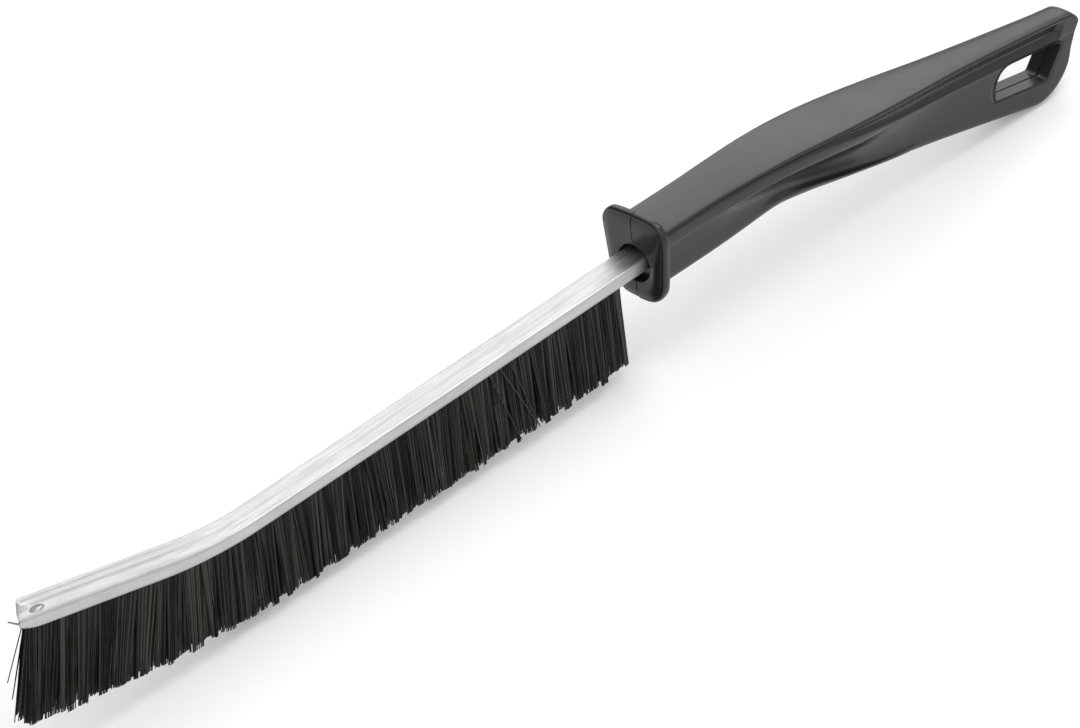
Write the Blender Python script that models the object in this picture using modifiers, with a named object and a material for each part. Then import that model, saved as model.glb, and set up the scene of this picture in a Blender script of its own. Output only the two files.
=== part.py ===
"""A grout brush: a folded steel channel full of bristles, gripped in a moulded two-part handle.

Run with: blender --background --python part.py, or from Blender's text editor.
Metres, Z up. The channel lies along X with its bristles down, and the handle is at +X.
The shape is made about the middle of the channel where it leaves the guard, and the whole
brush is then set down so that the bottom centre of its box is the origin.
"""

import math

import bmesh
import bpy
from mathutils import Vector

# Clearances
fit_gap = 0.0003
overrun = 0.001

# Steel channel: an inverted U of folded sheet, whose tip is bent up
channel_width = 0.0079
channel_height = 0.0034
sheet_thickness = 0.0005
channel_edge_radius = 0.0009
lip_height = 0.0007
lip_tuck = 0.0004
crease_depth = 0.0002
crease_half_width = 0.0004
channel_reach = 0.2113
cut_slant = 0.0033
slant_run = 0.0120
tip_length = 0.0783
bend_radius = 0.150
tip_rise = math.radians(12.8)
tang_length = 0.045
notch_length = 0.0046
notch_depth = 0.0014
notch_half_width = 0.0020
corner_cut_length = 0.0065
corner_cut_height = 0.0011
bend_steps = 8
bend_start = channel_reach - tip_length
tip_shares = (0.75, 0.5, 0.25, 0)

# Core wire that the filaments are folded over
wire_radius = 0.0003
wire_drop = 0.00065
wire_end_length = 0.0047
wire_end_lift = 0.0001
wire_end_aside = 0.0012
wire_start = 0.0075
wire_steps = 40

# Filaments: equal slices of the pack, each with its share of the strands
slice_count = 8
columns_per_slice = 12
rows_per_leg = 2
pack_start = 0.0078
pack_stop = 0.0030
bristle_length = 0.0240
tip_bristle_extra = 0.0026
bend_trim = 0.0012
bend_trim_length = 0.010
bristle_flare = 0.0011
bristle_ragged = 0.0005
bristle_sway = 0.0003
sway_length = 0.0110
slow_sway_share = 0.37
ragged_turn = 2.4
ragged_slow_turn = 1.1
tip_fan = 0.0022
tip_fan_length = 0.026
cell_inset = 0.00008
strand_narrow_share = 0.5
strand_tip_share = 0.72
stagger_share = 0.45

# Handle: a grip of box section that turns down into a deep thin plate
handle_length = 0.1491
grip_top = 0.00845
grip_bottom = -0.0062
top_turn_at = 0.0482
top_turn_softness = 0.016
rear_top_fall = math.radians(9.54)
bottom_turn_at = 0.0445
bottom_turn_softness = 0.004
rear_bottom_fall = math.radians(13.4)
belly_half_width = 0.0091
plate_half_width = 0.0034
rail_height = 0.0069
top_edge_radius = 0.0010
top_crown = 0.0003
bottom_edge_radius = 0.0018
hollow_depth = 0.0012
hollow_stop = 0.0076
end_slant = math.radians(20)
slant_length = 0.0491
end_round_top = 0.0032
end_round_bottom = 0.0092
end_round_side = 0.0010
body_step = 0.0055
end_rings = 7
end_turn = math.radians(84)

# Handle sections at shares of the handle's length
station_shares = (0, 0.14, 0.22, 0.31, 0.40, 0.48, 0.58, 0.65, 0.72, 0.83, 0.95, 1)
top_width_shares = (0.79, 0.80, 0.87, 0.96, 1, 0.955, 0.83, 0.71, 0.60, 0.48, 0.385, 0.374)
ridge_width_shares = (0.79, 0.80, 0.86, 0.92, 0.92, 0.83, 0.63, 0.50, 0.41, 0.376, 0.374, 0.374)
lower_width_shares = (2.02, 2.01, 1.87, 1.62, 1.45, 1.31, 1.17, 1.07, 1, 1, 1, 1)
rail_height_shares = (0.65, 0.65, 0.66, 0.70, 0.80, 0.92, 1, 1, 1, 0.98, 0.92, 0.9)
hollow_depth_shares = (0.27, 0.28, 0.30, 0.35, 0.55, 0.8, 1, 1, 0.9, 0.7, 0.6, 0.6)
hollow_height_shares = (0.20, 0.20, 0.22, 0.27, 0.42, 0.62, 0.86, 0.96, 1, 1, 1, 1)
scoop_height_shares = (0.3, 0.3, 0.45, 0.75, 0.86, 0.70, 0.42, 0.34, 0.3, 0.3, 0.3, 0.3)
scoop_curve_share = 0.32
crown_side_share = 0.75
hollow_shares = ((0.75, 0.28), (1, 0.55), (0.3, 0.85))
ridge_above_share = 0.15
ridge_below_share = 0.05
foot_room_share = 0.8

# Guard in front of the grip
guard_half_top = 0.0108
guard_half_bottom = 0.0086
guard_top = 0.0125
guard_bottom = -0.0113
guard_crown = 0.0010
guard_sag = 0.0010
guard_top_radius = 0.0034
guard_bottom_radius = 0.0042
guard_rim_radius = 0.0012
guard_dome = 0.0006
guard_dome_inset = 0.0042
dome_share = 0.45
rim_steps = 6
bulge_shares = (0.3, 0.6)
sag_shares = (0.5, 0.25)

# Mouth in the guard, and the slot behind it that holds the channel's tang
mouth_radius = 0.0052
mouth_drop = 0.0010
mouth_depth = 0.0022
mouth_chamfer = 0.0006
mouth_sides = 24

# Inside of the handle
seam_gap = 0.0003
wall = 0.0020
cells_start = 0.0075
cells_stop = 0.0451
cell_count = 7
rib_thickness = 0.0018
boss_radius = 0.0021
pin_radius = 0.0012
pin_reach = 0.0016
pin_cells = (1, 4, 6)
front_pin_lift = 0.0043
peg_sides = 12

# Hang hole through the plate: how far each corner is from the handle's end, and above its lower edge
hole_corners = (
    (0.0223, 0.0133),
    (0.0049, 0.0145),
    (0.0108, 0.0063),
    (0.0285, 0.0071),
)
hole_corner_radii = (0.0042, 0.0020, 0.0022, 0.0014)
hole_chamfer = 0.0010

arc_steps = 3


def clear_scene():
    for obj in list(bpy.data.objects):
        bpy.data.objects.remove(obj)


def new_collection(name):
    collection = bpy.data.collections.new(name)
    bpy.context.scene.collection.children.link(collection)
    return collection


def material(name, colour, roughness, metallic):
    finish = bpy.data.materials.new(name)
    finish.use_nodes = True
    shader = finish.node_tree.nodes["Principled BSDF"]
    shader.inputs["Base Color"].default_value = (*colour, 1)
    shader.inputs["Roughness"].default_value = roughness
    shader.inputs["Metallic"].default_value = metallic
    return finish


def add_object(name, mesh, collection, finish=None):
    obj = bpy.data.objects.new(name, mesh)
    collection.objects.link(obj)
    if finish:
        mesh.materials.append(finish)
    return obj


def mesh_from(name, bm):
    bmesh.ops.recalc_face_normals(bm, faces=bm.faces)
    mesh = bpy.data.meshes.new(name)
    bm.to_mesh(mesh)
    bm.free()
    return mesh


def add_loft(bm, rings):
    """Closed rings of equal point counts joined in order, with a cap on the first and the last."""
    loops = [[bm.verts.new(point) for point in ring] for ring in rings]
    count = len(loops[0])
    for near, far in zip(loops, loops[1:]):
        for i in range(count):
            after = (i + 1) % count
            bm.faces.new((near[i], near[after], far[after], far[i]))
    bm.faces.new(loops[0])
    bm.faces.new(loops[-1])


def loft_mesh(name, rings):
    bm = bmesh.new()
    add_loft(bm, rings)
    return mesh_from(name, bm)


def eased(share):
    share = min(max(share, 0), 1)
    return share * share * (3 - 2 * share)


def from_table(shares, share):
    """A smooth curve through a row of values given at station_shares."""
    last = len(shares) - 1
    slot = 0
    while slot < last - 1 and share > station_shares[slot + 1]:
        slot += 1
    left, right = station_shares[slot], station_shares[slot + 1]
    span = right - left
    t = min(max((share - left) / span, 0), 1)

    def slope(i):
        before, after = max(i - 1, 0), min(i + 1, last)
        return (shares[after] - shares[before]) / (station_shares[after] - station_shares[before])

    start, end = shares[slot], shares[slot + 1]
    lead, trail = slope(slot) * span, slope(slot + 1) * span
    rise = end - start
    return start + lead * t + (3 * rise - 2 * lead - trail) * t**2 + (lead + trail - 2 * rise) * t**3


def turn(distance, softness):
    """Zero before a bend and the distance after it, with a soft change between."""
    return (distance + math.hypot(distance, softness)) / 2


def rounded(points, radii):
    """A 2D polyline whose inner corners become arcs of the radii given for them."""
    result = [Vector(points[0])]
    for before, corner, after, radius in zip(points, points[1:], points[2:], radii):
        corner = Vector(corner)
        back = (Vector(before) - corner).normalized()
        ahead = (Vector(after) - corner).normalized()
        half_angle = back.angle(ahead) / 2
        reach = radius / math.tan(half_angle)
        centre = corner + (back + ahead).normalized() * (radius / math.sin(half_angle))
        first = corner + back * reach - centre
        last = corner + ahead * reach - centre
        swing = first.angle(last)
        for step in range(arc_steps + 1):
            t = step / arc_steps
            arm = (first * math.sin((1 - t) * swing) + last * math.sin(t * swing)) / math.sin(swing)
            result.append(centre + arm)
    result.append(Vector(points[-1]))
    return result


# The channel's route

def strip_angle(along):
    return min(max(along - bend_start, 0), bend_radius * tip_rise) / bend_radius


def strip_place(along, side, up):
    """A point beside the channel's middle line, this far from the guard along the channel.

    Near the tip the stations lean, so that a cut across them leaves the right wall the longer.
    """
    lean = max(along - channel_reach + slant_run, 0) / slant_run
    along -= cut_slant * min(lean, 1) * side / (channel_width / 2)
    turned = strip_angle(along)
    beyond = along - bend_start - bend_radius * turned
    if turned == 0:
        x, z = -along, 0
    else:
        x = -bend_start - bend_radius * math.sin(turned) - beyond * math.cos(turned)
        z = bend_radius * (1 - math.cos(turned)) + beyond * math.sin(turned)
    return Vector((x + up * math.sin(turned), side, z + up * math.cos(turned)))


# Steel channel

def crease_at(along):
    """How deep the crease in the channel's top is here: it is pressed into a notch at the tip."""
    pinch = eased(1 - (channel_reach - along) / notch_length)
    return crease_depth + (notch_depth - crease_depth) * pinch, pinch


def channel_profile(along):
    """The channel's outer outline here, from lip to lip. The lips' corners are cut away at the tip."""
    half, top = channel_width / 2, channel_height / 2
    depth, pinch = crease_at(along)
    cut = max(1 - (channel_reach - along) / corner_cut_length, 0) ** 2
    valley = crease_half_width + (notch_half_width - crease_half_width) * pinch
    low = -top + corner_cut_height * cut
    points = [(0, top - depth), (valley, top)]
    for step in range(arc_steps + 1):
        angle = math.pi / 2 * (1 - step / arc_steps)
        points.append(
            (
                half - channel_edge_radius * (1 - math.cos(angle)),
                top - channel_edge_radius * (1 - math.sin(angle)),
            )
        )
    points.append((half, low + lip_height))
    points.append((half - lip_tuck, low))
    return [(-side, up) for side, up in reversed(points[1:])] + points


def channel_stations():
    """Distances along the channel: few where it is straight, more round the bend and at the tip."""
    bend_length = bend_radius * tip_rise
    stations = [-tang_length, 0]
    stations += [bend_start + bend_length * step / bend_steps for step in range(bend_steps + 1)]
    stations += [channel_reach - slant_run, channel_reach - corner_cut_length]
    stations += [channel_reach - corner_cut_length * share for share in tip_shares]
    return stations


def make_channel(collection, finish):
    bm = bmesh.new()
    rows = []
    for along in channel_stations():
        rows.append([bm.verts.new(strip_place(along, side, up)) for side, up in channel_profile(along)])
    for near, far in zip(rows, rows[1:]):
        for i in range(len(near) - 1):
            bm.faces.new((near[i], near[i + 1], far[i + 1], far[i]))
    channel = add_object("steel_channel", mesh_from("steel_channel", bm), collection, finish)
    fold = channel.modifiers.new("sheet", "SOLIDIFY")
    fold.thickness = sheet_thickness
    fold.offset = -1
    fold.use_even_offset = True
    return channel


# Core wire

def make_wire(collection, finish):
    """The wire follows the channel, low inside it, and its cut end stands out of the tip."""
    reach = channel_reach - pack_stop - wire_start
    stations = [wire_start + reach * step / wire_steps for step in range(wire_steps + 1)]
    points = [strip_place(along, 0, -wire_drop) for along in stations]
    points.append(strip_place(channel_reach, -wire_end_aside, -wire_drop - wire_radius))
    points.append(strip_place(channel_reach + wire_end_length, -wire_end_aside, wire_end_lift - wire_drop))
    curve = bpy.data.curves.new("core_wire", "CURVE")
    curve.dimensions = "3D"
    curve.bevel_depth = wire_radius
    curve.bevel_resolution = 1
    curve.use_fill_caps = True
    line = curve.splines.new("POLY")
    line.points.add(len(points) - 1)
    for place, point in zip(line.points, points):
        place.co = (*point, 1)
    return add_object("core_wire", curve, collection, finish)


# Bristles

def pack_half_width():
    return channel_width / 2 - lip_tuck - sheet_thickness - fit_gap


def pack_lines():
    """Half width, slot, top and arch of a slice, which is an arch over the wire with two legs."""
    slot = wire_radius + fit_gap
    top = channel_height / 2 - sheet_thickness - crease_depth - fit_gap
    return pack_half_width(), slot, top, slot - wire_drop


def pack_foot():
    """Height of the legs' ends, between the channel's lips, where the strands come out."""
    return (lip_height - channel_height) / 2


def strand_tip(along, side, row_share, count):
    """Where a strand that starts at (along, side) ends: its reach, its side and its length."""
    to_tip = channel_reach - along
    fan = max(1 - to_tip / tip_fan_length, 0) ** 2
    phase = 2 * math.pi * along / sway_length
    sway = bristle_sway * (math.sin(phase) + math.sin(phase * slow_sway_share + row_share * math.pi))
    ragged = bristle_ragged * math.sin(count * ragged_turn) * math.cos(count * ragged_slow_turn + row_share)
    bend_middle = bend_start + bend_radius * tip_rise / 2
    extra = tip_bristle_extra * max((along - bend_middle) / (channel_reach - bend_middle), 0)
    dip = bend_trim * math.exp(-(((along - bend_middle) / bend_trim_length) ** 2))
    length = bristle_length + extra - dip + ragged
    return along + sway + tip_fan * fan, side + math.copysign(bristle_flare * row_share, side), length


def make_slice(index, collection, finish):
    """One length of the folded pack: its backing in the channel and the strands below it."""
    half, slot, top, arch = pack_lines()
    foot = pack_foot()
    usable = channel_reach - pack_stop - pack_start
    start = pack_start + usable * index / slice_count + fit_gap / 2
    length = usable / slice_count - fit_gap
    leg_sides = [slot + (half - slot) * row / rows_per_leg for row in range(rows_per_leg + 1)]
    bm = bmesh.new()
    columns = [start + length * step / columns_per_slice for step in range(columns_per_slice + 1)]
    rings = []
    for along in columns:
        roof = top + crease_depth - crease_at(along)[0]
        outline = [(side, foot) for side in leg_sides]
        outline += [(half, roof), (-half, roof)]
        outline += [(-side, foot) for side in reversed(leg_sides)]
        outline += [(-slot, arch), (slot, arch)]
        rings.append([strip_place(along, *point) for point in outline])
    add_loft(bm, rings)
    bmesh.ops.recalc_face_normals(bm, faces=bm.faces)

    cell = length / columns_per_slice
    pitch = (half - slot) / rows_per_leg
    feet = []
    for column in range(columns_per_slice):
        along = columns[column] + cell / 2
        for row in range(rows_per_leg):
            for hand in (-1, 1):
                feet.append((along, hand * (slot + pitch * (row + 0.5)), row, hand, column))
    found = []
    for along, side, row, hand, column in feet:
        centre = strip_place(along, side, foot)
        face = min(bm.faces, key=lambda face: (face.calc_center_median() - centre).length)
        found.append((face, along, side, row, hand, column))
    bmesh.ops.inset_individual(bm, faces=[item[0] for item in found], thickness=cell_inset)
    for face, along, side, row, hand, column in found:
        grown = bmesh.ops.extrude_discrete_faces(bm, faces=[face])["faces"][0]
        shape_strand(grown, along, side, row, hand, index * columns_per_slice + column, cell)
    name = f"bristles_{index + 1}"
    return add_object(name, mesh_from(name, bm), collection, finish)


def shape_strand(tip, along, side, row, hand, column, cell):
    """Narrows a strand's foot along the channel, staggers it in its cell, and draws it to its tip."""
    foot = pack_foot()
    rows = 2 * rows_per_leg
    shift = cell * ((row * 2 + (hand > 0) + 0.5) / rows - 0.5) * stagger_share
    base_centre = strip_place(along, side, foot)
    run = (strip_place(along + cell, side, foot) - base_centre).normalized()
    row_share = (row + 0.5) / rows_per_leg
    count = column * rows + row * 2 + (hand > 0)
    reach, flare, length = strand_tip(along + shift, side, row_share, count)
    end_centre = strip_place(reach, flare, foot - length)
    for loop in tip.loops:
        vert = loop.vert
        rim = [edge.other_vert(vert) for edge in vert.link_edges if edge.other_vert(vert) not in tip.verts]
        low = rim[0]
        offset = low.co - base_centre
        lengthwise = run * offset.dot(run)
        across = offset - lengthwise
        low.co = base_centre + run * shift + lengthwise * strand_narrow_share + across
        vert.co = end_centre + (lengthwise * strand_narrow_share + across) * strand_tip_share


# Handle

def top_line(x):
    return grip_top - math.tan(rear_top_fall) * turn(x - top_turn_at, top_turn_softness)


def bottom_line(x):
    return grip_bottom - math.tan(rear_bottom_fall) * turn(x - bottom_turn_at, bottom_turn_softness)


def section_widths(x):
    """Half widths of the handle here: top edge, ridge and lower side."""
    share = x / handle_length
    return (
        belly_half_width * from_table(top_width_shares, share),
        belly_half_width * from_table(ridge_width_shares, share),
        plate_half_width * from_table(lower_width_shares, share),
    )


def handle_section(x, top_cut, bottom_cut, side_cut, advance):
    """Half section of the handle, from its top middle round to its bottom middle.

    Under the top edge runs a hollow, thin at the guard and broad at the rear. A ridge
    follows it, and under the ridge the side is scooped in to the lower body.
    """
    share = x / handle_length
    top, ridge, lower = (width - side_cut for width in section_widths(x))
    high, low = top_line(x) - top_cut, bottom_line(x) + bottom_cut
    rail = rail_height * from_table(rail_height_shares, share)
    edge = min(top_edge_radius, top / 2)
    gap = (rail - edge) * from_table(hollow_height_shares, share)
    band = top + (ridge - top) * gap / (rail - edge)
    deep = hollow_depth * from_table(hollow_depth_shares, share)
    deep *= 1 - eased((x + advance + hollow_stop - handle_length) / top_edge_radius)
    under = high - rail
    drop = (under - low) * from_table(scoop_height_shares, share)
    foot_radius = min(bottom_edge_radius, (under - drop - low) * foot_room_share, lower / 2)
    points = [(0, high + top_crown), (top / 2, high + top_crown * crown_side_share)]
    for step in range(arc_steps + 1):
        angle = math.pi / 2 * step / arc_steps
        points.append((top - edge * (1 - math.sin(angle)), high - edge * (1 - math.cos(angle))))
    shelf = rail - edge - gap
    for depth_share, height_share in hollow_shares:
        wide = band if depth_share < crown_side_share else (top + band) / 2
        points.append((wide - deep * depth_share, high - edge - gap * height_share))
    points += [
        (band, high - edge - gap - shelf * ridge_above_share),
        (ridge, under + shelf * ridge_above_share),
        (ridge - (ridge - lower) * ridge_above_share, under - drop * ridge_below_share),
        (lower + (ridge - lower) * scoop_curve_share, under - drop / 2),
        (lower, under - drop),
    ]
    for step in range(arc_steps + 1):
        angle = math.pi / 2 * step / arc_steps
        points.append((lower - foot_radius * (1 - math.cos(angle)), low + foot_radius * (1 - math.sin(angle))))
    points.append((0, low))
    return points


def handle_ring(x, side, top_cut=0, bottom_cut=0, side_cut=0, advance=0):
    """The half section as a ring on one side, leaning more and more towards the slanted end."""
    middle = (top_line(x) + bottom_line(x)) / 2
    lean = math.tan(end_slant) * eased(1 - (handle_length - x) / slant_length)
    ring = []
    for width, height in handle_section(x, top_cut, bottom_cut, side_cut, advance):
        across = max(width, seam_gap / 2)
        slid = x + advance + lean * (height - middle)
        settle = (top_line(slid) - top_line(x)) if height > middle else (bottom_line(slid) - bottom_line(x))
        reach = abs(height - middle) / (top_line(x) - middle)
        ring.append(Vector((slid, side * across, height + settle * min(reach, 1))))
    return ring


def corner_cut(advance, radius):
    """How far a round corner of this radius has drawn in, this far along the rounded end."""
    share = max(advance - (end_round_bottom - radius), 0) / radius
    return radius * (1 - math.sqrt(1 - min(share, 1) ** 2))


def body_rings(side):
    """Rings of one half of the grip, whose last few draw in to round the end."""
    first = guard_dome + guard_rim_radius
    last = handle_length - end_round_bottom
    count = math.ceil((last - first) / body_step)
    rings = [handle_ring(first + (last - first) * step / count, side) for step in range(count + 1)]
    for step in range(1, end_rings + 1):
        advance = end_round_bottom * math.sin(end_turn * step / end_rings)
        cuts = [corner_cut(advance, radius) for radius in (end_round_top, end_round_bottom, end_round_side)]
        rings.append(handle_ring(last, side, *cuts, advance))
    return rings


def guard_outline(inset):
    """Half outline of the guard, from its top middle to its bottom middle, drawn in by inset."""
    top, bottom = guard_top - inset, guard_bottom + inset
    wide, narrow = guard_half_top - inset, guard_half_bottom - inset
    points = [
        (0, top),
        (wide, top - guard_crown),
        (narrow, bottom + guard_sag),
        (0, bottom),
    ]
    radii = (max(guard_top_radius - inset / 2, inset), max(guard_bottom_radius - inset / 2, inset))
    outline = rounded(points, radii)
    bulge = [Vector((wide * share, top - guard_crown * share**2)) for share in bulge_shares]
    sag = [Vector((narrow * share, bottom + guard_sag * share**2)) for share in sag_shares]
    return outline[:1] + bulge + outline[1:-1] + sag + outline[-1:]


def guard_rings(side):
    middle = guard_dome + guard_rim_radius
    rings = [(0, guard_dome_inset), (guard_dome * dome_share, guard_dome_inset * (1 - dome_share))]
    for step in range(rim_steps + 1):
        angle = math.pi * (step / rim_steps - 0.5)
        inset = guard_rim_radius * (1 - math.cos(angle))
        rings.append((middle + guard_rim_radius * math.sin(angle), inset))
    return [
        [Vector((x, side * max(width, seam_gap / 2), height)) for width, height in guard_outline(inset)]
        for x, inset in rings
    ]


def cell_limits():
    """Start and end of each pocket along the handle, with a rib left between two of them."""
    last = handle_length - cells_stop
    length = (last - cells_start - rib_thickness * (cell_count - 1)) / cell_count
    starts = [cells_start + (length + rib_thickness) * cell for cell in range(cell_count)]
    return [(start, start + length) for start in starts]


def pocket_ring(x):
    share = x / handle_length
    top, ridge, lower = section_widths(x)
    deep = hollow_depth * from_table(hollow_depth_shares, share)
    half = min(lower, (top + ridge) / 2 - deep) - wall
    high, low = top_line(x) - wall, bottom_line(x) + wall
    return [Vector((x, half, high)), Vector((x, half, low)), Vector((x, -half, low)), Vector((x, -half, high))]


def make_cells(cutters):
    bm = bmesh.new()
    for start, stop in cell_limits():
        add_loft(bm, [pocket_ring(start + (stop - start) * step / 2) for step in range(3)])
    return add_cutter("cells", mesh_from("cells", bm), cutters)


def add_cutter(name, mesh, cutters):
    cutter = add_object(name, mesh, cutters)
    cutter.hide_render = True
    cutter.display_type = "WIRE"
    return cutter


def make_slot(cutters):
    """The slot that the tang slides into, as wide and high as the channel with its clearance."""
    half, high = channel_width / 2 + fit_gap, channel_height / 2 + fit_gap
    rings = []
    for x in (-overrun, tang_length + fit_gap):
        rings.append([Vector((x, y, z)) for y, z in ((half, high), (half, -high), (-half, -high), (-half, high))])
    return add_cutter("tang_slot", loft_mesh("tang_slot", rings), cutters)


def make_mouth(cutters):
    """The round recess in the guard's face that the channel comes out of, with a chamfered rim."""
    rings = []
    edge = guard_dome / 10
    profile = (
        (-overrun, mouth_radius + mouth_chamfer + overrun),
        (edge, mouth_radius + mouth_chamfer - edge),
        (mouth_chamfer, mouth_radius),
        (mouth_depth, mouth_radius),
    )
    for x, radius in profile:
        ring = []
        for step in range(mouth_sides):
            angle = 2 * math.pi * (step + 0.5) / mouth_sides
            ring.append(Vector((x, radius * math.sin(angle), radius * math.cos(angle) - mouth_drop)))
        rings.append(ring)
    return add_cutter("mouth", loft_mesh("mouth", rings), cutters)


def hole_outline(grow):
    """The hang hole in side view, with round corners, grown outwards by this much."""
    places = [(handle_length - back, above) for back, above in hole_corners]
    corners = [Vector((x, bottom_line(x) + above)) for x, above in places]
    middle = sum(corners, Vector((0, 0))) / len(corners)
    count = len(corners)
    start = (corners[-1] + corners[0]) / 2
    loop = rounded([start, *corners, start], hole_corner_radii)[1:-1]
    return [point + (point - middle).normalized() * grow for point in loop]


def make_hole(cutters):
    side = plate_half_width
    profile = (
        (-side - overrun, hole_chamfer + overrun),
        (-side + hole_chamfer, 0),
        (side - hole_chamfer, 0),
        (side + overrun, hole_chamfer + overrun),
    )
    rings = [[Vector((x, y, z)) for x, z in hole_outline(grow)] for y, grow in profile]
    return add_cutter("hang_hole", loft_mesh("hang_hole", rings), cutters)


def pin_places():
    places = []
    for cell in pin_cells:
        start, stop = cell_limits()[cell]
        x = (start + stop) / 2
        middle = (top_line(x) + bottom_line(x)) / 2
        places.append((x, front_pin_lift if x < tang_length else middle))
    return places


def add_pegs(name, radius, inner, outer, cutters):
    """Round pegs across the handle at each pin's place, from inner to outer in Y."""
    bm = bmesh.new()
    for x, z in pin_places():
        ends = sorted((inner, outer))
        rings = []
        for y in ends:
            rings.append(
                [
                    Vector((x + radius * math.cos(angle), y, z + radius * math.sin(angle)))
                    for angle in (2 * math.pi * step / peg_sides for step in range(peg_sides))
                ]
            )
        add_loft(bm, rings)
    return add_cutter(name, mesh_from(name, bm), cutters)


def boss_depth():
    """How far the bosses reach out from the seam: into the wall, but not through it."""
    return min(section_widths(x)[2] for x, z in pin_places()) - wall / 2


def boolean(obj, other, operation):
    step = obj.modifiers.new(other.name, "BOOLEAN")
    step.operation = operation
    step.object = other
    step.solver = "EXACT"


def make_half(name, side, collection, cutters, shared, finish):
    """One half of the handle with its half of the guard, its pockets, bosses, and pins or sockets."""
    half = add_object(name, loft_mesh(name, body_rings(side)), collection, finish)
    guard = add_cutter(f"guard_{name}", loft_mesh(f"guard_{name}", guard_rings(side)), cutters)
    inner = side * seam_gap / 2
    depth = boss_depth()
    bosses = add_pegs(f"bosses_{name}", boss_radius, inner, side * depth, cutters)
    boolean(half, guard, "UNION")
    boolean(half, shared["cells"], "DIFFERENCE")
    boolean(half, bosses, "UNION")
    if side > 0:
        pins = add_pegs("pins", pin_radius, -inner - pin_reach, depth - wall / 2, cutters)
        boolean(half, pins, "UNION")
    else:
        reach = pin_reach + seam_gap / 2 + fit_gap
        sockets = add_pegs("sockets", pin_radius + fit_gap, overrun, -reach, cutters)
        boolean(half, sockets, "DIFFERENCE")
    boolean(half, shared["slot"], "DIFFERENCE")
    boolean(half, shared["mouth"], "DIFFERENCE")
    boolean(half, shared["hole"], "DIFFERENCE")
    return half


def set_down(parts, brush):
    """Moves the whole brush so that the bottom centre of its box is the origin."""
    bpy.context.view_layer.update()
    graph = bpy.context.evaluated_depsgraph_get()
    corners = []
    for part in parts:
        evaluated = part.evaluated_get(graph)
        mesh = evaluated.to_mesh()
        corners += [evaluated.matrix_world @ vert.co for vert in mesh.vertices]
        evaluated.to_mesh_clear()
    low = [min(corner[axis] for corner in corners) for axis in range(3)]
    high = [max(corner[axis] for corner in corners) for axis in range(3)]
    brush.location = (-(low[0] + high[0]) / 2, -(low[1] + high[1]) / 2, -low[2])
    bpy.context.view_layer.update()
    print("box:", [round(b - a, 5) for a, b in zip(low, high)], "moved by", tuple(brush.location))


def main():
    clear_scene()
    pieces = new_collection("grout_brush")
    cutters = new_collection("cutters")
    plastic = material("black_plastic", (0.022, 0.022, 0.021), 0.38, 0)
    galvanised = material("galvanised_steel", (0.62, 0.63, 0.62), 0.42, 1)
    bright_wire = material("wire_steel", (0.45, 0.45, 0.44), 0.35, 1)
    filament = material("black_filament", (0.016, 0.015, 0.013), 0.45, 0)

    brush = bpy.data.objects.new("grout_brush", None)
    pieces.objects.link(brush)
    parts = [make_channel(pieces, galvanised), make_wire(pieces, bright_wire)]
    parts += [make_slice(index, pieces, filament) for index in range(slice_count)]
    shared = {
        "cells": make_cells(cutters),
        "slot": make_slot(cutters),
        "mouth": make_mouth(cutters),
        "hole": make_hole(cutters),
    }
    parts.append(make_half("handle_left", 1, pieces, cutters, shared, plastic))
    parts.append(make_half("handle_right", -1, pieces, cutters, shared, plastic))
    set_down(parts, brush)
    for obj in [*parts, *cutters.objects]:
        obj.parent = brush
    for part in parts:
        if part.type == "MESH":
            part.data.shade_smooth()
            part.data.set_sharp_from_angle(angle=math.radians(35))


main()
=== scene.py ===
# %% [markdown]
# A grout brush is a long, narrow hand brush for the joints between tiles. Stiff black
# filaments stand in a bent steel channel, and the channel is gripped by a moulded handle
# with a guard in front and a hang hole at the rear.
#
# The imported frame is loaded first. It holds every part at its true size and place, so each
# piece that is modelled here takes its place from the frame and never from a guess.

# %% Load the frame
import math
import random

import bpy
import numpy as np
from mathutils import Matrix, Vector


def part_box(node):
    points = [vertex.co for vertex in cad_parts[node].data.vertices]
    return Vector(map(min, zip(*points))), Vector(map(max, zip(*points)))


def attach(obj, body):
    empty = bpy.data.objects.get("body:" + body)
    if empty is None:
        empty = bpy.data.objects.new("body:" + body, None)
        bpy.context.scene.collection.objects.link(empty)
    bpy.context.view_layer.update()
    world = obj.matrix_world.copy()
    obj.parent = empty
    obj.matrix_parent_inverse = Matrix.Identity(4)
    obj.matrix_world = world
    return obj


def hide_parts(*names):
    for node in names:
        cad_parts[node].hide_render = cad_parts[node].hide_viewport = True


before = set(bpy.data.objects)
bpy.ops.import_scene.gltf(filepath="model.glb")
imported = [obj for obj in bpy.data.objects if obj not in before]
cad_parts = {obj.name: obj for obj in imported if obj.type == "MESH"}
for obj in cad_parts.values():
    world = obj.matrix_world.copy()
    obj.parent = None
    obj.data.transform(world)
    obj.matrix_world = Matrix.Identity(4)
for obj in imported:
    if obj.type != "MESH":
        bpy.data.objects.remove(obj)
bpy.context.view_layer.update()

print("nodes in the frame:", len(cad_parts))

# %% [markdown]
# All sizes are written in millimetres and turned into metres by one factor. The origin for
# the work is the middle of the channel where it leaves the guard: X runs to the handle's
# end and Z up, so the channel's sections are easy to think about. The handle's box in the
# frame says where that point is, because the guard's face is its front and top.

# %% Set the units and the working origin
mm = 0.001
guard_top = 12.5 * mm
handle_low, handle_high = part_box("handle_right")
origin = Vector((handle_low.x, 0, handle_high.z - guard_top))
print("working origin:", [round(value / mm, 2) for value in origin], "mm")

# %% [markdown]
# The camera comes before the pieces, so that every render shows the view of the
# photograph. A product photographer stands far off with a long lens, which keeps the far
# end of a long thing from shrinking. The view is given by the directions that point right
# and up in the picture, and by the pixel on which the working origin lies.

# %% Place the camera
image_width, image_height = 1080, 728
origin_pixel = (634.0, 259.8)
pixels_per_metre = 4236.0
camera_distance = 7.6
sensor_width = 36.0

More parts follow.
